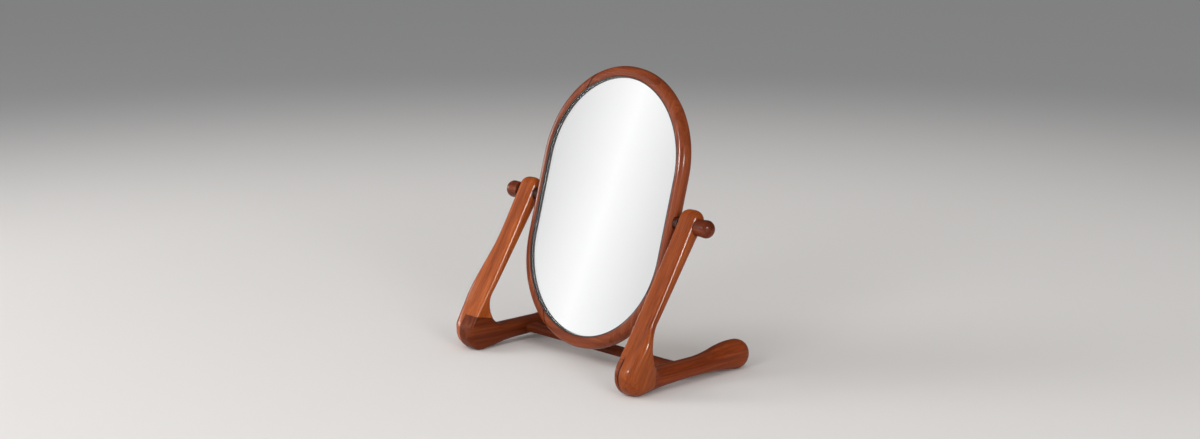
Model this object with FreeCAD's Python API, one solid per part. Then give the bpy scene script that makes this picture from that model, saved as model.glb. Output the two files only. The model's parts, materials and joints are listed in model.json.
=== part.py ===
# Table mirror: a pill-shaped looking glass in a slim wooden ring, tilting between two V-shaped wooden legs.
# Millimetres. +Z is up, the mirror faces -Y, and the origin is on the table under the middle of the stand.
import FreeCAD
import Part
import math
import os

V = FreeCAD.Vector
X_AXIS = V(1, 0, 0)

# Stand: overall sizes
leg_width = 27.0             # each leg, across
stand_depth = 202.0          # front of the heels to the back of the club ends
pivot_setback = 6.0          # pivot axis behind the middle of the stand
side_gap = 5.8               # between the ring and each leg
swing_gap = 14.4             # table to the lowest point that the ring's end would swing through

# Leg outline, seen from the side: circles joined by tangent lines and hollow arcs
heel_radius = 22.0
club_radius = 17.5
crotch_radius = 27.0
crotch_setback = 33.3        # front of the heel to the deepest point of the crotch
foot_waist = 25.0            # top of the foot at its slimmest
post_top_radius = 11.0
post_top_rise = 6.9          # centre of the rounded top above the pivot
post_top_setback = 4.0       # and behind it
post_hollow = 1800.0         # radius of the hollow front of the post
sole_hollow = 505.0          # radius of the arch under the foot
foot_hollow = 270.0          # radius of the hollow on top of the foot
leg_round = 5.0              # rounding of the leg's long edges
sole_flat = 0.4              # sanded off the heel and the club end so that they stand flat

# Lap joint between post and foot at the heel: the post keeps the outer part, the foot the inner part
right_lap_width = 9.5        # the foot's part of the right leg's width
left_lap_width = 17.5        # and of the left leg's, which is shaped differently
butt_setback = 40.5          # front of the heel to the butt line on the outer face
shoulder_front = 45.0        # height of the lap's shoulder at the front of the heel
shoulder_back = 38.0         # and at the crotch

# Stretcher between the feet
stretcher_depth = 17.0
stretcher_height = 10.0
stretcher_lead = 1.2         # its middle, ahead of the middle of the stand
stretcher_level = 14.5       # its middle, above the table
stretcher_flare = 2.0        # extra height above and below at the ends
stretcher_flare_length = 18.0
stretcher_round = 4.0
housing_depth = 5.0          # let into each foot
dowel_diameter = 5.0
dowel_length = 20.0
dowel_spacing = 8.0

# Mirror ring
glass_half_width = 107.0     # opening of the ring's lip
glass_straight = 94.4        # straight length of the opening's sides
ring_width = 10.2            # wood beside the opening
ring_end_extra = 3.1         # more wood at the top and the bottom
ring_depth = 18.3
ring_outer_round = 7.5
ring_inner_round = 1.6
ring_back_round = 1.5
lip_thickness = 2.2
lip_overlap = 2.0            # the lip reaches over the edge of the pane's rebate
mirror_rise = 1.1            # middle of the ring above the pivot
mirror_tilt = 15.5           # degrees leaning back
scarf_turn = 30.1            # degrees round the ring's end, from the top to each scarf joint
scarf_lean = 25.0            # degrees from upright

# What the ring holds
glass_thickness = 3.0
liner_width = 1.0
liner_height = 1.6
backing_thickness = 3.0
pane_gap = 0.4               # round the glass and the backing board
sprig_diameter = 1.5
sprig_length = 9.0
sprig_bite = 5.0             # length driven into the wood
sprig_spread = 22.0          # degrees between neighbours at the top and the bottom
sprig_pitch = 70.0           # between the sprigs of a side rail

# Pivot hardware
stud_diameter = 6.0
stud_in_knob = 14.0
insert_diameter = 9.0
insert_wall = 0.6            # wood left behind the insert
seat_depth = 1.5             # flat seat cut into the ring's side
seat_diameter = 16.0
collar_diameter = 14.0
washer_diameter = 15.0
washer_thickness = 1.2
knob_length = 21.0
knob_base_radius = 9.8
knob_neck_radius = 9.5       # towards which the side is drawn in near the base
knob_neck_length = 4.0
knob_radius = 10.3
knob_widest = 12.0           # from the base to the widest point

# Clearances
running_gap = 0.05           # stud in the post and in the insert, radial
free_gap = 0.4               # stud in the collar and the washers, radial
glue_gap = 0.02              # glued round fits, radial
face_gap = 0.05              # between flat faces that turn on each other

fillet_share = 0.46          # most of a wall's thickness that a rounding may take
dome_pull = 0.5523           # share of the reach at which a quarter round's control points lie
tolerance = 0.001            # when comparing places

# Worked out from the sizes above
ring_half_width = glass_half_width + ring_width
ring_half_height = glass_straight / 2 + ring_end_extra + ring_half_width
inner_face = ring_half_width + side_gap
outer_face = inner_face + leg_width
front = -stand_depth / 2
back = stand_depth / 2
pivot = V(0, pivot_setback, swing_gap + ring_half_height - mirror_rise)
rebate_half_width = glass_half_width + lip_overlap
pane_half_width = rebate_half_width - pane_gap
glass_front = lip_thickness - ring_depth / 2
seat = ring_half_width - seat_depth
knob_base = outer_face + washer_thickness + 2 * face_gap


def at_angle(centre, angle, radius):
    """Point of the side view at `angle` degrees, from +Y towards +Z, on a circle."""
    turn = math.radians(angle)
    return centre + V(0, math.cos(turn), math.sin(turn)) * radius


def angle_of(vector):
    """Angle of a side-view vector in degrees, from 0 to 360."""
    return math.degrees(math.atan2(vector.z, vector.y)) % 360


def arc(centre, radius, start, end):
    """Arc in the side view from one angle to another, in degrees, through their mean."""
    angles = (start, (start + end) / 2, end)
    return Part.Arc(*[at_angle(centre, angle, radius) for angle in angles]).toShape()


def hollow_centre(first, first_radius, second, second_radius, hollow):
    """Centre of the circle of radius `hollow` that touches two circles from outside, to the left of the way
    from the first to the second."""
    way = second - first
    reach = hollow + first_radius
    along = (way.Length ** 2 + reach ** 2 - (hollow + second_radius) ** 2) / (2 * way.Length)
    aside = math.sqrt(reach ** 2 - along ** 2)
    forward = way * (1 / way.Length)
    left = V(0, -forward.z, forward.y)
    return first + forward * along + left * aside


def prism(points, sweep):
    """Solid between the closed polygon and its copy moved by `sweep`."""
    return Part.Face(Part.makePolygon(points + points[:1])).extrude(sweep)


def cylinder(radius, start, end, axis_point):
    """Round bar along X between two X positions."""
    return Part.makeCylinder(radius, end - start, V(start, axis_point.y, axis_point.z), X_AXIS)


def tube(outer, inner, start, end, axis_point):
    return cylinder(outer, start, end, axis_point).cut(cylinder(inner, start, end, axis_point))


def mirrored(shape):
    return shape.mirror(V(0, 0, 0), X_AXIS)


# Legs
heel_centre = V(0, front + heel_radius, heel_radius - sole_flat)
club_centre = V(0, back - club_radius, club_radius - sole_flat)
crotch_centre = V(0, front + crotch_setback + crotch_radius, foot_waist + crotch_radius)
top_centre = pivot + V(0, post_top_setback, post_top_rise)

# The post's front is an arc round post_centre, the sole an arc round sole_centre, and the top of the foot is
# level from the crotch to the arc round saddle_centre, which rises to the club end
post_centre = hollow_centre(heel_centre, heel_radius, top_centre, post_top_radius, post_hollow)
sole_centre = hollow_centre(club_centre, club_radius, heel_centre, heel_radius, sole_hollow)
saddle_rise = foot_waist + foot_hollow - club_centre.z
saddle_run = math.sqrt((foot_hollow + club_radius) ** 2 - saddle_rise ** 2)
saddle_centre = club_centre + V(0, -saddle_run, saddle_rise)

# The post's back is a straight line that touches the rounded top and, from the other side, the crotch
top_to_crotch = crotch_centre - top_centre
back_angle = angle_of(top_to_crotch)
back_angle += math.degrees(math.acos((post_top_radius + crotch_radius) / top_to_crotch.Length)) - 360
back_normal = at_angle(V(0, 0, 0), back_angle, 1)
post_waist = (top_centre - post_centre).dot(back_normal) + post_top_radius - post_hollow


def leg_outline():
    """Closed side outline of a whole leg."""
    heel_to_post = angle_of(post_centre - heel_centre)
    heel_to_sole = angle_of(sole_centre - heel_centre)
    club_to_sole = angle_of(sole_centre - club_centre)
    club_to_saddle = angle_of(saddle_centre - club_centre) + 360
    top_to_post = angle_of(post_centre - top_centre)
    level_start = at_angle(crotch_centre, 270, crotch_radius)
    level_end = at_angle(saddle_centre, 270, foot_hollow)
    back_top = at_angle(top_centre, back_angle, post_top_radius)
    back_bottom = at_angle(crotch_centre, back_angle + 180, crotch_radius)
    edges = [
        arc(heel_centre, heel_radius, heel_to_post, heel_to_sole),
        arc(sole_centre, sole_hollow, heel_to_sole - 180, club_to_sole - 180),
        arc(club_centre, club_radius, club_to_sole, club_to_saddle),
        arc(saddle_centre, foot_hollow, club_to_saddle - 180, 270),
        Part.makeLine(level_end, level_start),
        arc(crotch_centre, crotch_radius, 270, back_angle + 180),
        Part.makeLine(back_bottom, back_top),
        arc(top_centre, post_top_radius, back_angle, top_to_post),
        arc(post_centre, post_hollow, top_to_post + 180, heel_to_post + 180),
    ]
    return Part.Wire(Part.__sortEdges__(edges))


def leg_blank():
    """Whole leg on the +X side, its long edges rounded and its soles sanded flat."""
    outline = leg_outline().translated(V(inner_face, 0, 0))
    blank = Part.Face(outline).extrude(V(leg_width, 0, 0))
    rims = [edge for edge in blank.Edges if edge.BoundBox.XLength < leg_width / 2]
    blank = blank.makeFillet(min(leg_round, fillet_share * post_waist), rims)
    floor = Part.makeBox(3 * leg_width, 2 * stand_depth, heel_radius,
                         V(inner_face - leg_width, -stand_depth, -heel_radius))
    return blank.cut(floor)


def foot_zone(lap_width):
    """Space of the foot on the +X side: the heel's inner part below the shoulder, and all behind the butt."""
    lap_face = inner_face + lap_width
    low = -heel_radius
    high = crotch_centre.z
    start = inner_face - leg_width
    ahead = front - leg_width
    behind = back + leg_width
    butt = front + butt_setback
    turn = crotch_centre.y
    slope = (shoulder_back - shoulder_front) / crotch_setback
    shoulder_end = shoulder_front + slope * (turn - front)
    shoulder_start = shoulder_front + slope * (ahead - front)
    inner = [(ahead, low), (behind, low), (behind, high), (turn, high), (turn, shoulder_end),
             (ahead, shoulder_start)]
    outer = [(butt, low), (behind, low), (behind, high), (butt, high)]
    inner_part = prism([V(start, y, z) for y, z in inner], V(lap_face - start, 0, 0))
    outer_part = prism([V(lap_face, y, z) for y, z in outer], V(leg_width, 0, 0))
    return inner_part.fuse(outer_part)


def stretcher_bar():
    """Bar between the feet that thickens towards its ends and runs into a housing in each foot."""
    end = inner_face + housing_depth
    start = inner_face - stretcher_flare_length
    y = -stretcher_lead - stretcher_depth / 2
    edges = []
    for up in (-1, 1):
        level = stretcher_level + up * stretcher_height / 2
        flared = level + up * stretcher_flare
        edges.append(Part.makeLine(V(-start, y, level), V(start, y, level)))
        for side in (-1, 1):
            # The flare is an arc that leaves the straight bar smoothly
            halfway = V(side * (start + stretcher_flare_length / 2), y, level + up * stretcher_flare / 4)
            bend = Part.Arc(V(side * start, y, level), halfway, V(side * inner_face, y, flared))
            edges.append(bend.toShape())
            edges.append(Part.makeLine(V(side * inner_face, y, flared), V(side * end, y, flared)))
    reach = V(0, 0, stretcher_height / 2 + stretcher_flare)
    for side in (-1, 1):
        middle = V(side * end, y, stretcher_level)
        edges.append(Part.makeLine(middle - reach, middle + reach))
    outline = Part.Wire(Part.__sortEdges__(edges))
    bar = Part.Face(outline).extrude(V(0, stretcher_depth, 0))
    long_edges = []
    for edge in bar.Edges:
        along = edge.BoundBox.XLength > edge.BoundBox.YLength
        if along and edge.BoundBox.XLength > housing_depth / 2:
            long_edges.append(edge)
    return bar.makeFillet(min(stretcher_round, fillet_share * stretcher_height), long_edges)


def dowels(extra_radius, extra_length):
    """The two dowels at the +X end of the stretcher, or the holes that take them."""
    radius = dowel_diameter / 2 + extra_radius
    start = inner_face + housing_depth - dowel_length / 2 - extra_length
    end = inner_face + housing_depth + dowel_length / 2 + extra_length
    pair = []
    for side in (-1, 1):
        axis = V(0, side * dowel_spacing / 2 - stretcher_lead, stretcher_level)
        pair.append(cylinder(radius, start, end, axis))
    return pair


def split_leg(leg, bar, lap_width):
    """Post and foot of a leg on the +X side, lapped at the heel; the foot is cut out for the stretcher."""
    zone = foot_zone(lap_width)
    hole_radius = stud_diameter / 2 + running_gap
    pivot_hole = cylinder(hole_radius, inner_face - leg_width, outer_face + leg_width, pivot)
    foot = leg.common(zone).cut(bar)
    for hole in dowels(glue_gap, face_gap):
        foot = foot.cut(hole)
    return leg.cut(zone).cut(pivot_hole), foot


def make_stand():
    """Posts, feet, stretcher and its dowels."""
    leg = leg_blank()
    bar = stretcher_bar()
    right_post, right_foot = split_leg(leg, bar, right_lap_width)
    left_post, left_foot = split_leg(leg, bar, left_lap_width)
    for hole in dowels(glue_gap, face_gap):
        bar = bar.cut(hole).cut(mirrored(hole))
    pegs = dowels(0, 0)
    pegs += [mirrored(peg) for peg in pegs]
    return {
        "right_post": right_post,
        "left_post": mirrored(left_post),
        "right_foot": right_foot,
        "left_foot": mirrored(left_foot),
        "stretcher": bar,
        "stretcher_dowels": Part.makeCompound(pegs),
    }


# Mirror: modelled upright with the pivot axis on the origin, then tilted and carried to the pivot
ring_middle = V(0, 0, mirror_rise)


def pill(half_width, straight, start, end):
    """Solid with a pill-shaped outline, from one depth (Y) to another."""
    half = straight / 2
    right_low = ring_middle + V(half_width, start, -half)
    right_high = ring_middle + V(half_width, start, half)
    left_low = ring_middle + V(-half_width, start, -half)
    left_high = ring_middle + V(-half_width, start, half)
    top = ring_middle + V(0, start, half + half_width)
    bottom = ring_middle + V(0, start, -half - half_width)
    edges = [
        Part.makeLine(right_low, right_high),
        Part.Arc(right_high, top, left_high).toShape(),
        Part.makeLine(left_high, left_low),
        Part.Arc(left_low, bottom, right_low).toShape(),
    ]
    return Part.Face(Part.Wire(edges)).extrude(V(0, end - start, 0))


def edges_at_depth(shape, depth, half_width):
    """Edges of the pill outline of that half width that lie at one depth."""
    found = []
    for edge in shape.Edges:
        box = edge.BoundBox
        level = max(abs(box.YMin - depth), abs(box.YMax - depth)) < tolerance
        widest = max(abs(box.XMin), abs(box.XMax))
        if level and abs(widest - half_width) < tolerance:
            found.append(edge)
    return found


def make_ring():
    """The whole ring before it is cut at its scarf joints."""
    ring_front = -ring_depth / 2
    ring_back = ring_depth / 2
    ring = pill(ring_half_width, glass_straight + 2 * ring_end_extra, ring_front, ring_back)
    rims = edges_at_depth(ring, ring_front, ring_half_width)
    rims += edges_at_depth(ring, ring_back, ring_half_width)
    ring = ring.makeFillet(min(ring_outer_round, fillet_share * ring_depth), rims)
    ring = ring.cut(pill(glass_half_width, glass_straight, ring_front - ring_depth, ring_back + ring_depth))
    ring = ring.cut(pill(rebate_half_width, glass_straight, glass_front, ring_back + ring_depth))
    ring = ring.makeFillet(ring_inner_round, edges_at_depth(ring, ring_front, glass_half_width))
    return ring.makeFillet(ring_back_round, edges_at_depth(ring, ring_back, rebate_half_width))


def end_zone(sign):
    """Space of the top (+1) or bottom (-1) segment, between its two slanting scarf joints."""
    lean = math.tan(math.radians(scarf_lean))
    turn = math.radians(scarf_turn)
    wood_middle = glass_half_width + (ring_width + ring_end_extra) / 2
    scarf_offset = wood_middle * math.sin(turn)
    scarf_height = glass_straight / 2 + wood_middle * math.cos(turn)
    inside = scarf_height - ring_half_width / 2
    outside = scarf_height + ring_half_width / 2
    corners = []
    for side, height in ((-1, inside), (1, inside), (1, outside), (-1, outside)):
        x = side * (scarf_offset - lean * (height - scarf_height))
        corners.append(ring_middle + V(x, -ring_depth, sign * height))
    return prism(corners, V(0, 2 * ring_depth, 0))


def sprig_places():
    """Points on the rebate's wall, with the outward direction at each, behind the backing board."""
    y = glass_front + glass_thickness + backing_thickness + sprig_diameter / 2 + face_gap
    places = []
    for sign in (1, -1):
        for step in (-1, 0, 1):
            turn = math.radians(step * sprig_spread)
            outward = V(math.sin(turn), 0, sign * math.cos(turn))
            middle = ring_middle + V(0, y, sign * glass_straight / 2)
            places.append((middle + outward * rebate_half_width, outward))
        for step in (-1, 1):
            wall = ring_middle + V(sign * rebate_half_width, y, step * sprig_pitch / 2)
            places.append((wall, V(sign, 0, 0)))
    return places


def make_sprigs(extra_radius, extra_length):
    """The sprigs, or the holes that take them."""
    radius = sprig_diameter / 2 + extra_radius
    length = sprig_length + extra_length
    sprigs = []
    for wall, outward in sprig_places():
        foot = wall - outward * (sprig_length - sprig_bite)
        sprigs.append(Part.makeCylinder(radius, length, foot, outward))
    return sprigs


def make_mirror():
    """Ring segments, pane, liner, backing board, sprigs and threaded inserts, still upright."""
    ring = make_ring()
    origin = V(0, 0, 0)
    reach = 2 * ring_half_width
    insert_start = rebate_half_width + insert_wall
    for sprig in make_sprigs(glue_gap, face_gap):
        ring = ring.cut(sprig)
    for cut in (cylinder(seat_diameter / 2, seat, reach, origin),
                cylinder(insert_diameter / 2 + glue_gap, insert_start, reach, origin)):
        ring = ring.cut(cut).cut(mirrored(cut))
    top = ring.common(end_zone(1))
    bottom = ring.common(end_zone(-1))
    sides = ring.cut(end_zone(1)).cut(end_zone(-1))
    rails = {}
    for solid in sides.Solids:
        rails["frame_right_rail" if solid.CenterOfMass.x > 0 else "frame_left_rail"] = solid
    glass_back = glass_front + glass_thickness
    liner_outside = glass_half_width - glue_gap
    liner = pill(liner_outside, glass_straight, glass_front - liner_height, glass_front)
    liner_opening = glass_half_width - liner_width
    liner = liner.cut(pill(liner_opening, glass_straight, glass_front - ring_depth, ring_depth))
    insert = tube(insert_diameter / 2, stud_diameter / 2 + running_gap, insert_start, seat, origin)
    pieces = {
        "frame_top": top,
        "frame_bottom": bottom,
        "mirror_glass": pill(pane_half_width, glass_straight, glass_front, glass_back),
        "glass_liner": liner,
        "backing_board": pill(pane_half_width, glass_straight, glass_back, glass_back + backing_thickness),
        "glazing_sprigs": Part.makeCompound(make_sprigs(0, 0)),
        "right_insert": insert,
        "left_insert": mirrored(insert),
    }
    pieces.update(rails)
    return pieces


def knob():
    """Turned knob, a stubby bullet with a domed end, on the +X side, with a blind hole for the stud."""
    def at(along, radius):
        return V(knob_base + along, pivot.y, pivot.z + radius)

    base_centre = at(0, 0)
    tip = at(knob_length, 0)
    base_rim = at(0, knob_base_radius)
    widest = at(knob_widest, knob_radius)
    side = Part.BezierCurve()
    side.setPoles([base_rim, at(knob_neck_length, knob_neck_radius),
                   at(knob_widest - knob_neck_length, knob_radius), widest])
    dome = Part.BezierCurve()
    dome.setPoles([widest, at(knob_widest + dome_pull * (knob_length - knob_widest), knob_radius),
                   at(knob_length, dome_pull * knob_radius), tip])
    base = Part.makeLine(base_centre, base_rim)
    profile = Part.Wire([base, side.toShape(), dome.toShape(), Part.makeLine(tip, base_centre)])
    body = Part.Face(profile).revolve(pivot, X_AXIS, 360)
    hole_end = knob_base + stud_in_knob + face_gap
    return body.cut(cylinder(stud_diameter / 2 + glue_gap, knob_base - knob_length, hole_end, pivot))


def make_pivot(name, place):
    """Knob, stud, collar and washers of one side."""
    loose = stud_diameter / 2 + free_gap
    stud_start = rebate_half_width + insert_wall
    collar_end = inner_face - washer_thickness - 2 * face_gap
    disc = washer_diameter / 2
    pieces = {
        "knob": knob(),
        "stud": cylinder(stud_diameter / 2, stud_start, knob_base + stud_in_knob, pivot),
        "collar": tube(collar_diameter / 2, loose, seat, collar_end, pivot),
        "inner_washer": tube(disc, loose, collar_end + face_gap, inner_face - face_gap, pivot),
        "outer_washer": tube(disc, loose, outer_face + face_gap, knob_base - face_gap, pivot),
    }
    return {name + "_" + piece: place(shape) for piece, shape in pieces.items()}


def tilted(shape):
    """Carry an upright piece of the mirror to the pivot and lean it back."""
    placed = shape.translated(pivot)
    return placed.rotate(pivot, X_AXIS, -mirror_tilt)


parts = make_stand()
for node, shape in make_mirror().items():
    parts[node] = tilted(shape)
parts.update(make_pivot("right", lambda shape: shape))
parts.update(make_pivot("left", mirrored))

os.makedirs("parts", exist_ok=True)
for node, shape in sorted(parts.items()):
    print(node, "valid" if shape.isValid() else "NOT VALID", len(shape.Solids), round(shape.Volume))
    shape.exportStep("parts/" + node + ".step")
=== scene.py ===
# Looks of the table mirror: sculpted wooden legs, ring, knobs and a silvered pane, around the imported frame.
# Metres, in the frame of the part: +Z is up and the mirror faces -Y.
import bpy
import bmesh
import json
import math
from mathutils import Matrix, Vector


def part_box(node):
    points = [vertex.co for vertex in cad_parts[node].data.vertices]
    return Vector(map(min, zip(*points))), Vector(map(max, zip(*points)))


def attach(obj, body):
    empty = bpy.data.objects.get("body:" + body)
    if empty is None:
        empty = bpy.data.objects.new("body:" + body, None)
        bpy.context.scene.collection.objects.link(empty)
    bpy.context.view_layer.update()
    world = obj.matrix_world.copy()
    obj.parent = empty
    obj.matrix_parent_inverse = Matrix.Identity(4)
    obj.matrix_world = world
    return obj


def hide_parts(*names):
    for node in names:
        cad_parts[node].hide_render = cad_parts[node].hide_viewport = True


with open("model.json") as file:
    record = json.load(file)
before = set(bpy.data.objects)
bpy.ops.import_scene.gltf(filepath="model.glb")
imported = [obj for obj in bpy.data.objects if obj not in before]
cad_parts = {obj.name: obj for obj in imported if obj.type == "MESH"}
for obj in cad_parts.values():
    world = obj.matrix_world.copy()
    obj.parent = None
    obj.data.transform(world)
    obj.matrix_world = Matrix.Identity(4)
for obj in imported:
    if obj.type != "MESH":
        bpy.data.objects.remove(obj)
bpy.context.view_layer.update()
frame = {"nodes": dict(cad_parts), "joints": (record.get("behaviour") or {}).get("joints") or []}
nodes = frame["nodes"]

# Places read from the frame
tilt_joint = next(joint for joint in frame["joints"] if joint["name"] == "mirror_tilt")
pivot = Vector(tilt_joint["pos_m"])
post_low, post_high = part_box("right_post")
foot_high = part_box("right_foot")[1]
bar_low, bar_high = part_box("stretcher")
inner_face = post_low.x
outer_face = post_high.x
leg_middle = (inner_face + outer_face) / 2
heel_front = post_low.y
club_back = foot_high.y

# Leg outline, seen from the side: circles joined by tangent lines and hollow arcs
heel_radius = 0.022
club_radius = 0.0175
club_flank = 0.1
club_crest = math.radians(85)
crotch_radius = 0.027
crotch_setback = 0.0333
foot_waist = 0.025
top_radius = 0.011
top_setback = 0.004
post_hollow = 1.8
sole_hollow = 0.505
foot_hollow = 0.095
sole_flat = 0.0004

# Number of points on each stretch of the outline
heel_steps = 22
sole_steps = 30
club_steps = 28
flank_steps = 16
saddle_steps = 18
level_steps = 8
crotch_steps = 16
back_steps = 28
top_steps = 20
front_steps = 32

# Rounding of the leg's edges: a share of the wood's thickness, up to a limit for each stretch
edge_share = 0.44
crotch_round = 0.0062
saddle_round = 0.0085
heel_round = 0.0125
inner_heel_share = 0.55
post_round = 0.008
club_round = 0.0128
top_spread = 1.4
round_blend = 5
round_steps = 7

# Swelling of the leg's outer half, larger on the left leg, and a lobe of the post beside the crotch
right_swell = 0.004
right_swell_stretch = 1.5
right_swell_lean = 0.0
left_swell = 0.009
left_swell_stretch = 2.6
left_swell_lean = 0.5
swell_setback = 0.014
swell_level = 0.034
swell_core = 0.012
swell_reach = 0.040
swell_grid = 0.005
lobe_setback = 0.036
lobe_level = 0.052
lobe_core = 0.006
lobe_reach = 0.030
lobe_shift = Vector((0.0022, 0.0026, 0))

# Lap joint at the heel: the foot's part of each leg's width, the butt behind it and the shoulder above it
right_lap_width = 0.0095
left_lap_width = 0.0175
butt_setback = 0.0405
shoulder_front = 0.045
shoulder_back = 0.038
seam_gap = 0.00012

# Hole for the stud
stud_hole = 0.00305
stud_hole_sides = 48

# Stretcher, which flares into the feet
bar_half_depth = (bar_high.y - bar_low.y) / 2
bar_half_height = 0.005
bar_flare_depth = 0.003
bar_flare_height = 0.0008
bar_flare_length = 0.022
bar_flare_power = 2.5
bar_squareness = 3.2
bar_half_steps = 40
bar_sides = 48

# Scarf joints of the ring
scarf_offset = 0.0570
scarf_height = 0.1455
scarf_lean = math.radians(25)

# Glue lines, drawn at the joints that show
line_width = 0.0011
line_depth = 0.08
line_reach = 0.025
line_fade = 0.030
lap_line_drop = 0.003

# Mirror pane
rest_tilt = math.radians(15.5)
mirror_rise = 0.0011
pane_half_width = 0.1086
pane_straight = 0.0944
pane_front = -0.00695
pane_thickness = 0.0029
pane_bevel = 0.0004
pane_end_steps = 64
# Width of the pane's unsilvered back margin, painted pale grey as painted light of the lit glass edge
silver_margin = 0.003
back_facing = 0.99

# Angles, in degrees, past which an edge stays sharp
wood_sharp = 35
pane_sharp = 20

# Values of a noise at its dark and its light marks
noise_range = (0.3, 0.7)

# Grain of the wood, as (length, width, depth) of its marks, and the surface, duller in the dark streaks
figure_size = (0.16, 0.011, 0.011)
streak_size = (0.05, 0.0013, 0.0013)
pore_size = (0.0045, 0.00032, 0.00032)
streak_share = 0.42
tone_stops = (0.34, 0.5, 0.66)
pore_stops = (0.3, 0.42)
pore_share = 0.55
pore_shade = 0.45
pore_height_share = 0.5
grain_strength = 0.12
grain_height = 0.0003
oiled_roughness = 0.38
raw_roughness = 0.55
streak_dulling = 0.06
streak_gloss = 0.05
polish = 0.3
foot_polish = 0.15
polish_roughness = 0.17
wood_specular = 0.06

# Speckle of the plain materials, and the glass and its silver with the faintest haze
speckle_contrast = 0.05
speckle_strength = 0.4
glass_haze = 0.05
glass_tints = ((0.985, 0.993, 0.99), (0.988, 0.995, 0.992))
glass_ior = 1.5
silver_haze = 0.08
silver_tints = ((0.965, 0.965, 0.965), (0.975, 0.975, 0.975))

# Wood tones: dark, middle and light
right_post_tones = ((0.18, 0.032, 0.005), (0.285, 0.057, 0.009), (0.39, 0.094, 0.019))
# Left post: lighter than the right post, partly a paler piece of wood and partly painted light from the lamp
# on the left
left_post_painted_light_tones = ((0.235, 0.045, 0.008), (0.37, 0.080, 0.014), (0.50, 0.13, 0.03))
right_foot_tones = ((0.13, 0.021, 0.0045), (0.21, 0.037, 0.008), (0.295, 0.061, 0.015))
# Left foot: darker than the right foot, painted shade on its inner side, which faces away from the lamp on
# the left
left_foot_painted_shade_tones = ((0.085, 0.014, 0.003), (0.14, 0.025, 0.0055), (0.20, 0.042, 0.010))
ring_tones = ((0.14, 0.026, 0.007), (0.22, 0.044, 0.012), (0.31, 0.072, 0.022))
knob_tones = ((0.09, 0.016, 0.005), (0.145, 0.027, 0.009), (0.21, 0.044, 0.015))
bar_tones = ((0.08, 0.016, 0.006), (0.135, 0.027, 0.009), (0.19, 0.042, 0.015))
# Collars: nearly black, painted shade in the gap between each post and the ring
collar_painted_shade_tones = ((0.025, 0.007, 0.004), (0.045, 0.011, 0.006), (0.07, 0.018, 0.009))
dowel_tones = ((0.42, 0.27, 0.14), (0.52, 0.35, 0.19), (0.60, 0.43, 0.25))
board_tones = ((0.36, 0.23, 0.12), (0.46, 0.31, 0.17), (0.54, 0.38, 0.22))

# Floor, pale near the object and darker in the distance: painted light that falls off away from the object
floor_size = 40
floor_near = 0.9
floor_far = 2.6
floor_painted_light_tone = (0.84, 0.815, 0.795)
floor_painted_shade_tone = (0.42, 0.42, 0.425)
floor_roughness = 0.9

# The room is pale in front and dim behind; a bright window, with a brighter band, faces the glass.
# Places are on the unit sphere of directions; an edge goes from its first value to its second.
room_front = 0.15
room_back = 0.06
room_edge = (-0.25, 0.3)
window_strength = 0.76
window_height = 0.17
window_edge = (0.22, 0.12)
window_side_edge = (-0.2, -0.45)
band_strength = 1.03
band_normal = (0.6959, -0.7150, 0.0670)
band_half_width = 0.03
fill_front = 0.66
fill_back = 0.34
fill_edge = (-0.6, 0.6)

# Lamps face this place; the camera stands where the photograph was taken
lamp_target = Vector((0, 0, 0.15))
camera_place = Vector((1.7538, -1.6478, 0.6715))
camera_way = Vector((-0.7141, 0.6694, -0.2048))
camera_lens = 63
camera_sensor = 36


# Modelling by hand
def deselect():
    if bpy.context.mode != "OBJECT":
        bpy.ops.object.mode_set(mode="OBJECT")
    bpy.ops.object.select_all(action="DESELECT")


def make_active(piece):
    deselect()
    piece.select_set(True)
    bpy.context.view_layer.objects.active = piece


def extruded(name, rings):
    """Closed solid: a disc is laid on the first ring, then extruded from ring to ring."""
    deselect()
    bpy.ops.mesh.primitive_circle_add(vertices=len(rings[0]), fill_type="NGON")
    piece = bpy.context.object
    piece.name = name
    bpy.ops.object.mode_set(mode="EDIT")
    for number, ring in enumerate(rings):
        if number:
            bpy.ops.mesh.extrude_region_move()
        mesh = bmesh.from_edit_mesh(piece.data)
        mesh.verts.ensure_lookup_table()
        for vert, place in zip(mesh.verts[-len(ring):], ring):
            vert.co = place
        bmesh.update_edit_mesh(piece.data)
    bpy.ops.mesh.select_all(action="SELECT")
    bpy.ops.mesh.normals_make_consistent(inside=False)
    bpy.ops.object.mode_set(mode="OBJECT")
    return piece


def cut_away(piece, cutter):
    """Takes the cutter's solid out of the piece and clears the cutter away."""
    make_active(piece)
    cut = piece.modifiers.new("cut", "BOOLEAN")
    cut.operation = "DIFFERENCE"
    cut.object = cutter
    bpy.ops.object.modifier_apply(modifier=cut.name)
    bpy.data.objects.remove(cutter)


def flip(piece):
    """Turns a piece of the right side into one of the left side."""
    make_active(piece)
    piece.scale.x = -1
    bpy.ops.object.transform_apply(location=False, rotation=False, scale=True)
    bpy.ops.object.mode_set(mode="EDIT")
    bpy.ops.mesh.select_all(action="SELECT")
    bpy.ops.mesh.normals_make_consistent(inside=False)
    bpy.ops.object.mode_set(mode="OBJECT")


def smooth(piece, sharp=wood_sharp):
    make_active(piece)
    bpy.ops.object.shade_smooth_by_angle(angle=math.radians(sharp))


def dress(piece, body, slot, material, *replaced):
    piece.data.materials.clear()
    piece.data.materials.append(material)
    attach(piece, body)
    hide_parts(*replaced)


# Legs
def side(y, z):
    return Vector((0, y, z))


def turned(angle):
    return side(math.cos(angle), math.sin(angle))


def angle_of(vector):
    return math.atan2(vector.z, vector.y) % math.tau


def smoothstep(low, high, value):
    share = min(max((value - low) / (high - low), 0), 1)
    return share * share * (3 - 2 * share)


heel = side(heel_front + heel_radius, heel_radius - sole_flat)
club = side(club_back - club_radius, club_radius - sole_flat)
crotch = side(heel_front + crotch_setback + crotch_radius, foot_waist + crotch_radius)
top = side(pivot.y + top_setback, post_high.z - top_radius)


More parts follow.
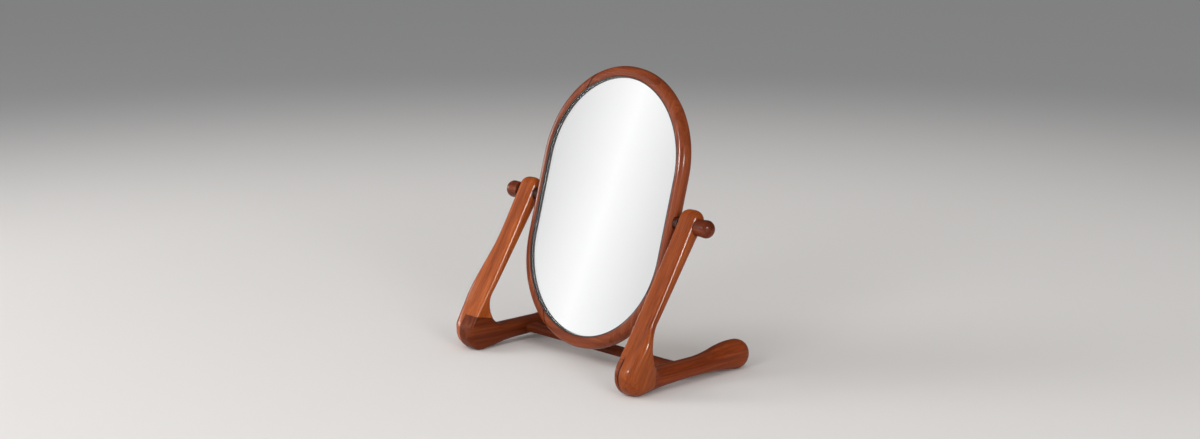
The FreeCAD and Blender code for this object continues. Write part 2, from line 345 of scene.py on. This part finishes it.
def hollow_centre(first, first_radius, second, second_radius, hollow):
    """Centre of a circle that touches two circles from outside, left of the way from first to second."""
    way = second - first
    reach = hollow + first_radius
    along = (way.length_squared + reach ** 2 - (hollow + second_radius) ** 2) / (2 * way.length)
    aside = math.sqrt(reach ** 2 - along ** 2)
    forward = way.normalized()
    return first + forward * along + side(-forward.z, forward.y) * aside


def arc(centre, radius, start, end, count, hollow=False):
    """Points of an arc of the outline, each with its outward direction."""
    points = []
    for step in range(count):
        outward = turned(start + (end - start) * step / count)
        points.append((centre + outward * radius, -outward if hollow else outward))
    return points


def line(start, end, count):
    way = (end - start).normalized()
    return [(start.lerp(end, step / count), side(way.z, -way.y)) for step in range(count)]


def rounded(points, limit, thickness, spread=1.0):
    """Gives each point its rounding, by the wood's thickness there, and how far that spreads across."""
    made = []
    for place, outward in points:
        edge = min(limit, edge_share * thickness(place))
        made.append((place, outward, edge, edge * spread))
    return made


def leg_outline(crotch_edge):
    """Side outline of a whole leg; crotch_edge is the rounding in the crotch, where post and foot differ."""
    half = math.pi
    down = 3 * math.pi / 2
    post_centre = hollow_centre(heel, heel_radius, top, top_radius, post_hollow)
    sole_centre = hollow_centre(club, club_radius, heel, heel_radius, sole_hollow)
    flank = club - turned(club_crest) * (club_flank - club_radius)
    saddle_rise = foot_waist + foot_hollow - flank.z
    saddle_run = math.sqrt((foot_hollow + club_flank) ** 2 - saddle_rise ** 2)
    saddle = flank + side(-saddle_run, saddle_rise)
    to_crotch = crotch - top
    back_angle = angle_of(to_crotch) + math.acos((top_radius + crotch_radius) / to_crotch.length) - math.tau
    heel_post = angle_of(post_centre - heel)
    heel_sole = angle_of(sole_centre - heel)
    club_sole = angle_of(sole_centre - club)
    crest = club_crest + math.tau
    flank_saddle = angle_of(saddle - flank) + math.tau
    top_post = angle_of(post_centre - top)
    back_top = top + turned(back_angle) * top_radius
    back_bottom = crotch - turned(back_angle) * crotch_radius
    level_start = crotch + turned(down) * crotch_radius
    level_end = saddle + turned(down) * foot_hollow

    def over_sole(place):
        return place.z - sole_centre.z - math.sqrt(sole_hollow ** 2 - (place.y - sole_centre.y) ** 2)

    def under_saddle(place):
        run = max(place.y - saddle.y, 0)
        return saddle.z - math.sqrt(foot_hollow ** 2 - run ** 2) - place.z

    def before_back(place):
        return (back_top - place).dot(turned(back_angle))

    def behind_front(place):
        return (place - post_centre).length - post_hollow

    heel_arc = arc(heel, heel_radius, heel_post, heel_sole, heel_steps)
    sole_arc = arc(sole_centre, sole_hollow, heel_sole - half, club_sole - half, sole_steps, hollow=True)
    club_arc = arc(club, club_radius, club_sole, crest, club_steps)
    flank_arc = arc(flank, club_flank, crest, flank_saddle, flank_steps)
    saddle_arc = arc(saddle, foot_hollow, flank_saddle - half, down, saddle_steps, hollow=True)
    level_line = line(level_end, level_start, level_steps)
    crotch_arc = arc(crotch, crotch_radius, down, back_angle + half, crotch_steps, hollow=True)
    back_line = line(back_bottom, back_top, back_steps)
    top_arc = arc(top, top_radius, back_angle, top_post, top_steps)
    front_arc = arc(post_centre, post_hollow, top_post + half, heel_post + half, front_steps, hollow=True)
    outline = rounded(heel_arc, heel_round, lambda place: 2 * heel_radius)
    outline += rounded(sole_arc, heel_round, under_saddle)
    outline += rounded(club_arc, club_round, lambda place: 2 * club_radius)
    outline += rounded(flank_arc, club_round, over_sole)
    outline += rounded(saddle_arc, club_round, over_sole)
    outline += rounded(level_line, club_round, over_sole)
    outline += rounded(crotch_arc, crotch_edge, behind_front)
    outline += rounded(back_line, post_round, behind_front)
    outline += rounded(top_arc, post_round, lambda place: 2 * top_radius, top_spread)
    outline += rounded(front_arc, post_round, before_back)
    count = len(outline)
    window = range(-round_blend, round_blend + 1)
    blended = []
    for number, (place, outward, edge, wide) in enumerate(outline):
        near = [outline[(number + step) % count] for step in window]
        edge = sum(entry[2] for entry in near) / len(near)
        wide = sum(entry[3] for entry in near) / len(near)
        blended.append((place, outward, edge, wide))
    return blended


def inner_share(place):
    """Rounding of the leg's inner edge as a share of the outer edge's: tighter at the heel."""
    near_heel = 1 - smoothstep(heel_radius, 2 * heel_radius, (place - heel).length)
    return 1 - (1 - inner_heel_share) * near_heel


def leg_blank(name, crotch_edge):
    """Whole leg on the +X side with its edges rounded by hand, and its soles sanded flat."""
    outline = leg_outline(crotch_edge)
    steps = [math.pi / 2 * step / round_steps for step in range(round_steps + 1)]
    rings = []
    for face, inward, turns in ((inner_face, 1, steps), (outer_face, -1, reversed(steps))):
        for turn in turns:
            ring = []
            for place, outward, edge, wide in outline:
                share = inner_share(place) if inward > 0 else 1
                point = place - outward * edge * share * (1 - math.sin(turn))
                point.x = face + inward * wide * share * (1 - math.cos(turn))
                point.z = max(point.z, 0)
                ring.append(point)
            rings.append(ring)
    return extruded(name, rings)


def plate(name, corners, start, end):
    """Flat cutter with those corners in the side view, between two X positions."""
    return extruded(name, [[Vector((x, y, z)) for y, z in corners] for x in (start, end)])


def swell_heel(piece, swell, stretch, lean):
    """Cuts a grid around the heel and lets the leg's outer half swell there, and in a lobe beside the crotch.

    The swelling is drawn out in height by stretch, and leans back with the post by lean.
    """
    make_active(piece)
    bpy.ops.object.mode_set(mode="EDIT")
    reach = swell_reach * stretch
    middle = side(heel_front + swell_setback, swell_level)
    lobe = side(heel_front + lobe_setback, lobe_level)
    count = int(reach / swell_grid)
    for axis in (side(1, 0), side(0, 1)):
        for step in range(-count, count + 1):
            bpy.ops.mesh.select_all(action="SELECT")
            bpy.ops.mesh.bisect(plane_co=middle + axis * step * swell_grid, plane_no=axis)
    mesh = bmesh.from_edit_mesh(piece.data)
    for vert in mesh.verts:
        away = vert.co - middle
        distance = math.hypot(away.y - lean * max(away.z, 0), away.z / stretch)
        beside = vert.co - lobe
        share = max(vert.co.x - leg_middle, 0) / (outer_face - leg_middle)
        vert.co.x += swell * share * (1 - smoothstep(swell_core, swell_reach, distance))
        near_lobe = 1 - smoothstep(lobe_core, lobe_reach, math.hypot(beside.y, beside.z))
        vert.co += lobe_shift * share * near_lobe
    bmesh.update_edit_mesh(piece.data)
    bpy.ops.object.mode_set(mode="OBJECT")


def split_leg(hand, lap_width, swell, stretch, lean):
    """Post and foot of a leg on the +X side, lapped at the heel."""
    post = leg_blank(hand + "_post_wood", crotch_round)
    foot = leg_blank(hand + "_foot_wood", saddle_round)
    lap_face = inner_face + lap_width
    far = club_back - heel_front
    low, high, above = -far, crotch.z, far * 2
    ahead, behind = heel_front - far, club_back + far
    butt = heel_front + butt_setback
    slope = (shoulder_back - shoulder_front) / crotch_setback
    shoulder_start = shoulder_front - slope * far
    shoulder_end = shoulder_front + slope * (crotch.y - heel_front)
    inside = inner_face - far
    outside = outer_face + far
    gap = seam_gap / 2
    foot_inner = [(ahead, low), (behind, low), (behind, high), (crotch.y, high),
                  (crotch.y, shoulder_end + gap), (ahead, shoulder_start + gap)]
    foot_outer = [(butt - gap, low), (behind, low), (behind, high), (butt - gap, high)]
    post_inner = [(ahead, shoulder_start - gap), (crotch.y, shoulder_end - gap), (crotch.y, high),
                  (behind, high), (behind, above), (ahead, above)]
    post_outer = [(ahead, low), (butt + gap, low), (butt + gap, high),
                  (behind, high), (behind, above), (ahead, above)]
    cut_away(post, plate("foot_inner_part", foot_inner, inside, lap_face + gap))
    cut_away(post, plate("foot_outer_part", foot_outer, lap_face - seam_gap, outside))
    cut_away(foot, plate("post_inner_part", post_inner, inside, lap_face + seam_gap))
    cut_away(foot, plate("post_outer_part", post_outer, lap_face - gap, outside))
    deselect()
    bpy.ops.mesh.primitive_cylinder_add(vertices=stud_hole_sides, radius=stud_hole, depth=far,
                                        location=(leg_middle, pivot.y, pivot.z), rotation=(0, math.pi / 2, 0))
    cut_away(post, bpy.context.object)
    for piece in (post, foot):
        swell_heel(piece, swell, stretch, lean)
        smooth(piece)
    return post, foot


# Stretcher
def make_stretcher():
    """Bar of soft rectangular section that flares where it runs into the feet."""
    middle = (bar_low + bar_high) / 2
    end = bar_high.x
    stations = [end * step / bar_half_steps for step in range(-bar_half_steps, bar_half_steps + 1)]
    turns = [math.tau * step / bar_sides for step in range(bar_sides)]
    rings = []
    for x in stations:
        flare = max(abs(x) - inner_face + bar_flare_length, 0) / bar_flare_length
        half_depth = bar_half_depth + bar_flare_depth * flare ** bar_flare_power
        half_height = bar_half_height + bar_flare_height * flare ** bar_flare_power
        ring = []
        for turn in turns:
            back, up = math.cos(turn), math.sin(turn)
            stretch = (abs(back) ** bar_squareness + abs(up) ** bar_squareness) ** (-1 / bar_squareness)
            y = middle.y + half_depth * back * stretch
            z = middle.z + half_height * up * stretch
            ring.append(Vector((x, y, z)))
        rings.append(ring)
    return extruded("stretcher_bar", rings)


# Mirror pane
def mirror_way(direction):
    """Direction in the part's frame of one given for an upright mirror."""
    return Matrix.Rotation(-rest_tilt, 3, "X") @ direction


def on_mirror(point):
    """Place in the part's frame of a point given for an upright mirror, measured from the pivot axis."""
    return pivot + mirror_way(point)


def pill(inset, depth):
    """Pill-shaped outline of the pane, drawn in by inset, at a depth behind the pivot axis."""
    radius = pane_half_width - inset
    ring = []
    for sign in (1, -1):
        for step in range(pane_end_steps + 1):
            turn = math.pi * step / pane_end_steps
            height = mirror_rise + sign * (pane_straight / 2 + radius * math.sin(turn))
            ring.append(on_mirror(Vector((sign * radius * math.cos(turn), depth, height))))
    return ring


def make_pane():
    """Bevelled glass plate whose back face carries the silver, apart from a pale margin painted as the light
    of the glass edge.
    """
    back = pane_front + pane_thickness
    rings = [pill(pane_bevel, pane_front), pill(0, pane_front + pane_bevel), pill(0, back - pane_bevel),
             pill(pane_bevel, back), pill(silver_margin, back)]
    return extruded("silvered_pane", rings)


def coat_back(pane, silver, margin):
    """Silvers the large face of the pane's back and paints the four-cornered faces around it pale grey:
    painted light of the lit glass edge.
    """
    pane.data.materials.append(silver)
    pane.data.materials.append(margin)
    back = mirror_way(Vector((0, 1, 0)))
    for face in pane.data.polygons:
        if face.normal.dot(back) > back_facing:
            face.material_index = 1 if len(face.vertices) > 4 else 2


# Shader nodes
def node(tree, kind, inputs=None, **settings):
    """Adds a shader node, sets its options and joins or sets its inputs."""
    made = tree.nodes.new("ShaderNode" + kind)
    for name, value in settings.items():
        setattr(made, name, value)
    for socket, value in (inputs or {}).items():
        if isinstance(value, bpy.types.NodeSocket):
            tree.links.new(value, made.inputs[socket])
        else:
            made.inputs[socket].default_value = value
    return made


def object_place(tree):
    return node(tree, "TexCoord").outputs["Object"]


def sums(tree, operation, *values):
    return node(tree, "Math", dict(enumerate(values)), operation=operation).outputs[0]


def vector_sums(tree, operation, *values):
    return node(tree, "VectorMath", dict(enumerate(values)), operation=operation).outputs


def span(tree, value, start, end, low=0.0, high=1.0, kind="LINEAR"):
    """Takes a value from start to end over to low to high."""
    inputs = {"Value": value, "From Min": start, "From Max": end, "To Min": low, "To Max": high}
    return node(tree, "MapRange", inputs, interpolation_type=kind).outputs["Result"]


def mixed(tree, share, first, second):
    return node(tree, "Mix", {0: share, 2: first, 3: second}, data_type="FLOAT").outputs[0]


def darkened(tree, share, colour, factor):
    made = node(tree, "Mix", {0: share, 6: colour, 7: factor}, data_type="RGBA", blend_type="MULTIPLY")
    return made.outputs[2]


def ramp(tree, value, positions, colours):
    """Colour ramp with those colours at those positions."""
    made = node(tree, "ValToRGB", {"Fac": value})
    elements = made.color_ramp.elements
    while len(elements) < len(positions):
        elements.new(0.5)
    for element, position, colour in zip(elements, positions, colours):
        element.position = position
        element.color = (*colour, 1)
    return made.outputs["Color"]


def grey(value):
    return (value, value, value)


def stretched_noise(tree, coords, size, detail, distortion=0.0):
    """Noise whose marks are about `size` long, wide and deep, in the coordinates' own axes."""
    place = node(tree, "Mapping", {"Vector": coords, "Scale": size}, vector_type="TEXTURE")
    inputs = {"Vector": place.outputs["Vector"], "Scale": 1.0, "Detail": detail, "Distortion": distortion}
    return node(tree, "TexNoise", inputs).outputs["Fac"]


def even_noise(tree, size, detail):
    """Noise whose marks are about `size` each way, in the object's own axes."""
    return stretched_noise(tree, object_place(tree), (size, size, size), detail)


# Finishes
def finish_tree(name):
    """New material: its tree and its shader."""
    material = bpy.data.materials.new(name)
    material.use_nodes = True
    tree = material.node_tree
    return material, tree, tree.nodes["Principled BSDF"]


def glue_lines(tree, coords, colour, joints):
    """Darkens the colour in a hairline at each joint, given by a point on it and its normal."""
    for point, normal in joints:
        away = vector_sums(tree, "SUBTRACT", coords, point)["Vector"]
        off = sums(tree, "ABSOLUTE", vector_sums(tree, "DOT_PRODUCT", away, normal)["Value"])
        reach = vector_sums(tree, "LENGTH", away)["Value"]
        clear = span(tree, off, line_width / 2, line_width, low=line_depth)
        beyond = span(tree, reach, line_reach, line_fade)
        colour = darkened(tree, 1.0, colour, sums(tree, "MAXIMUM", clear, beyond))
    return colour


def wood(name, tones, along, shift, roughness=oiled_roughness, coat=polish, joints=()):
    """Wood with its grain along a direction; shift moves to another part of the grain."""
    material, tree, shader = finish_tree(name)
    coords = object_place(tree)
    turn = Vector((1, 0, 0)).rotation_difference(along).to_euler()
    turning = {"Vector": coords, "Location": (shift, shift, shift), "Rotation": turn}
    grain = node(tree, "Mapping", turning, vector_type="TEXTURE").outputs["Vector"]
    figure = stretched_noise(tree, grain, figure_size, detail=3.0, distortion=0.8)
    streaks = stretched_noise(tree, grain, streak_size, detail=4.0, distortion=0.3)
    pores = stretched_noise(tree, grain, pore_size, detail=2.0)
    blend = mixed(tree, streak_share, figure, streaks)
    tone = ramp(tree, blend, tone_stops, tones)
    pore_mask = ramp(tree, pores, pore_stops, (grey(pore_shade), grey(1.0)))
    colour = darkened(tree, pore_share, tone, pore_mask)
    colour = glue_lines(tree, coords, colour, joints)
    rough = span(tree, streaks, *noise_range, roughness + streak_dulling, roughness - streak_gloss)
    height = mixed(tree, pore_height_share, streaks, pores)
    bump = node(tree, "Bump", {"Height": height, "Strength": grain_strength, "Distance": grain_height})
    tree.links.new(colour, shader.inputs["Base Color"])
    tree.links.new(rough, shader.inputs["Roughness"])
    tree.links.new(bump.outputs["Normal"], shader.inputs["Normal"])
    shader.inputs["Coat Weight"].default_value = coat
    shader.inputs["Coat Roughness"].default_value = polish_roughness
    shader.inputs["Specular IOR Level"].default_value = wood_specular
    return material


def speckled(name, dark, light, size, roughness, metallic=0.0, bump_height=0.0):
    """Plain material with a fine speckle in colour and roughness."""
    material, tree, shader = finish_tree(name)
    marks = even_noise(tree, size, detail=4.0)
    rough = span(tree, marks, *noise_range, roughness + speckle_contrast, roughness - speckle_contrast)
    tree.links.new(ramp(tree, marks, noise_range, (dark, light)), shader.inputs["Base Color"])
    tree.links.new(rough, shader.inputs["Roughness"])
    if bump_height:
        bump = node(tree, "Bump", {"Height": marks, "Strength": speckle_strength, "Distance": bump_height})
        tree.links.new(bump.outputs["Normal"], shader.inputs["Normal"])
    shader.inputs["Metallic"].default_value = metallic
    return material


def clear_glass():
    """Clear glass with the faintest green."""
    material, tree, shader = finish_tree("clear_glass")
    haze = even_noise(tree, glass_haze, detail=2.0)
    tree.links.new(ramp(tree, haze, noise_range, glass_tints), shader.inputs["Base Color"])
    shader.inputs["Roughness"].default_value = 0.0
    shader.inputs["IOR"].default_value = glass_ior
    shader.inputs["Transmission Weight"].default_value = 1.0
    return material


def silvering():
    """Mirror coating, with the faintest unevenness."""
    material, tree, shader = finish_tree("silvering")
    haze = even_noise(tree, silver_haze, detail=2.0)
    tree.links.new(ramp(tree, haze, noise_range, silver_tints), shader.inputs["Base Color"])
    shader.inputs["Roughness"].default_value = 0.0
    shader.inputs["Metallic"].default_value = 1.0
    return material


def floor_painted_falloff():
    material, tree, shader = finish_tree("floor_painted_falloff")
    # The colour darkens with distance from the object: a painted falloff of the light
    distance = vector_sums(tree, "LENGTH", object_place(tree))["Value"]
    reach = span(tree, distance, floor_near, floor_far, kind="SMOOTHSTEP")
    tone = ramp(tree, reach, (0, 1), (floor_painted_light_tone, floor_painted_shade_tone))
    tree.links.new(tone, shader.inputs["Base Color"])
    shader.inputs["Roughness"].default_value = floor_roughness
    shader.inputs["Specular IOR Level"].default_value = 0.0
    return material


def left_scarf(end):
    """Left joint of the ring at the bottom (-1) or the top (1): a point on it and its normal."""
    point = Vector((-scarf_offset, 0, mirror_rise + end * scarf_height))
    along = mirror_way(Vector((math.sin(scarf_lean), 0, end * math.cos(scarf_lean))))
    return on_mirror(point), along.cross(mirror_way(Vector((0, 1, 0)))).normalized()


# Studio
def light_world():
    """Even fill light, while the camera, polish and glass see the room and its window."""
    world = bpy.data.worlds.new("studio")
    bpy.context.scene.world = world
    world.use_nodes = True
    tree = world.node_tree
    sky = tree.nodes["Background"]
    rays = node(tree, "LightPath").outputs
    seen = sums(tree, "MAXIMUM", rays["Is Camera Ray"], rays["Is Glossy Ray"])
    seen = sums(tree, "MAXIMUM", seen, rays["Is Transmission Ray"])
    way = node(tree, "TexCoord").outputs["Generated"]
    parts = node(tree, "SeparateXYZ", {0: way}).outputs
    room = span(tree, parts["Y"], *room_edge, room_front, room_back, kind="SMOOTHSTEP")
    off_height = sums(tree, "ABSOLUTE", sums(tree, "SUBTRACT", parts["Z"], window_height))
    in_window = span(tree, off_height, *window_edge, kind="SMOOTHSTEP")
    ahead = span(tree, parts["Y"], *window_side_edge, kind="SMOOTHSTEP")
    in_window = sums(tree, "MULTIPLY", in_window, ahead)
    off_band = sums(tree, "ABSOLUTE", vector_sums(tree, "DOT_PRODUCT", way, band_normal)["Value"])
    window = span(tree, off_band, 0.0, band_half_width, band_strength, window_strength)
    fill = span(tree, parts["Y"], *fill_edge, fill_front, fill_back)
    level = mixed(tree, seen, fill, mixed(tree, in_window, room, window))
    tree.links.new(level, sky.inputs["Strength"])
    sky.inputs["Color"].default_value = (1, 1, 1, 1)


def soft_lamp(name, place, size, power, glint=False):
    """Lamp that faces the object: a softbox lights it, a glint only shows in its polish."""
    data = bpy.data.lights.new(name, "AREA")
    data.shape = "RECTANGLE"
    data.size, data.size_y = size
    data.energy = power
    lamp = bpy.data.objects.new(name, data)
    lamp.location = place
    lamp.rotation_euler = (lamp_target - Vector(place)).to_track_quat("-Z", "Y").to_euler()
    lamp.visible_camera = False
    lamp.visible_diffuse = not glint
    lamp.visible_glossy = glint
    lamp.visible_transmission = False
    bpy.context.scene.collection.objects.link(lamp)


# Directions of the grain
post_way = top - heel
foot_way = Vector((0, 1, 0))
ring_up = mirror_way(Vector((0, 0, 1)))
across = Vector((1, 0, 0))

# Legs: the right one as modelled, the left one flipped
right_lap = (Vector((inner_face + right_lap_width, heel.y, heel.z - lap_line_drop)), across)
right_post_wood = wood("right_post_wood", right_post_tones, post_way, shift=0.0, joints=[right_lap])
right_foot_wood = wood("right_foot_wood", right_foot_tones, foot_way, shift=0.3, coat=foot_polish,
                       joints=[right_lap])
# The left post's lighter tones are partly painted light from the lamp on the left
left_post_wood = wood("left_post_wood", left_post_painted_light_tones, post_way, shift=0.5)
# The left foot's darker tones are painted shade
left_foot_wood = wood("left_foot_wood", left_foot_painted_shade_tones, foot_way, shift=0.3, coat=foot_polish)
right_post, right_foot = split_leg("right", right_lap_width, right_swell, right_swell_stretch,
                                   right_swell_lean)
left_post, left_foot = split_leg("left", left_lap_width, left_swell, left_swell_stretch, left_swell_lean)
for piece in (left_post, left_foot):
    flip(piece)
dress(right_post, "stand", "post_wood", right_post_wood, "right_post")
dress(left_post, "stand", "post_wood", left_post_wood, "left_post")
dress(right_foot, "stand", "foot_wood", right_foot_wood, "right_foot")
dress(left_foot, "stand", "foot_wood", left_foot_wood, "left_foot")

stretcher_wood = wood("stretcher_wood", bar_tones, across, shift=0.7, coat=0.0)
stretcher = make_stretcher()
smooth(stretcher)
dress(stretcher, "stand", "foot_wood", stretcher_wood, "stretcher")

# Pale grey margin: painted light standing for the lit edge of the glass
margin_painted_light = speckled("margin_painted_light", (0.68, 0.72, 0.72), (0.78, 0.82, 0.82), size=0.0008, roughness=0.5)
pane = make_pane()
smooth(pane, pane_sharp)
dress(pane, "mirror", "silvered_glass", clear_glass(), "mirror_glass")
coat_back(pane, silvering(), margin_painted_light)

# Finishes of the pieces carried over from the frame; the ring's two left joints show
top_left = left_scarf(1)
bottom_left = left_scarf(-1)
steel = speckled("stud_steel", grey(0.42), grey(0.55), size=0.0006, roughness=0.34, metallic=1.0)
brass = speckled("insert_brass", (0.52, 0.34, 0.12), (0.66, 0.46, 0.19), size=0.0006, roughness=0.3,
                 metallic=1.0)
leather = speckled("washer_leather", (0.022, 0.011, 0.007), (0.05, 0.026, 0.016), size=0.0005, roughness=0.7,
                   bump_height=0.0002)
knob_wood = wood("knob_wood", knob_tones, across, shift=0.35)
# The collars' nearly black wood is painted shade in the gap between post and ring
collar_painted_shade_wood = wood("collar_painted_shade_wood", collar_painted_shade_tones, across, shift=0.15)
finishes = {
    "frame_top": wood("frame_top_wood", ring_tones, across, shift=0.1, joints=[top_left]),
    "frame_bottom": wood("frame_bottom_wood", ring_tones, across, shift=0.4, joints=[bottom_left]),
    "frame_left_rail": wood("frame_left_wood", ring_tones, ring_up, shift=0.2,
                            joints=[top_left, bottom_left]),
    "frame_right_rail": wood("frame_right_wood", ring_tones, ring_up, shift=0.6),
    "glass_liner": speckled("liner_black", grey(0.012), grey(0.022), size=0.0008, roughness=0.5),
    "backing_board": wood("board_veneer", board_tones, ring_up, shift=0.9, roughness=raw_roughness, coat=0.0),
    "glazing_sprigs": steel,
    "stretcher_dowels": wood("dowel_wood", dowel_tones, across, shift=0.8, roughness=raw_roughness, coat=0.0),
}
for hand in ("left", "right"):
    finishes[hand + "_insert"] = brass
    finishes[hand + "_stud"] = steel
    finishes[hand + "_inner_washer"] = leather
    finishes[hand + "_outer_washer"] = leather
    finishes[hand + "_knob"] = knob_wood
    finishes[hand + "_collar"] = collar_painted_shade_wood
for name, material in finishes.items():
    mesh = nodes[name].data
    mesh.materials.clear()
    mesh.materials.append(material)

# Floor, light and camera
deselect()
bpy.ops.mesh.primitive_plane_add(size=floor_size)
floor = bpy.context.object
floor.name = "floor"
floor.data.materials.append(floor_painted_falloff())

light_world()
soft_lamp("left_softbox", (-1.6, -1.7, 1.2), size=(1.2, 1.2), power=21)
soft_lamp("front_softbox", (0.5, -1.95, 1.2), size=(0.6, 1.0), power=9)
soft_lamp("right_softbox", (2.4, -0.86, 1.0), size=(0.9, 0.9), power=20)
soft_lamp("post_glint", (1.74, -0.58, 0.94), size=(0.35, 0.26), power=26, glint=True)
soft_lamp("heel_glint", (-2.3, -0.85, 0.5), size=(0.6, 0.6), power=18, glint=True)
soft_lamp("ring_glint", (-0.57, -1.83, 1.0), size=(0.3, 0.25), power=24, glint=True)

camera_data = bpy.data.cameras.new("photo_view")
camera_data.lens = camera_lens
camera_data.sensor_width = camera_sensor
camera = bpy.data.objects.new("photo_view", camera_data)
camera.location = camera_place
camera.rotation_euler = camera_way.to_track_quat("-Z", "Y").to_euler()
bpy.context.scene.collection.objects.link(camera)
bpy.context.scene.camera = camera
bpy.context.scene.view_settings.view_transform = "Standard"
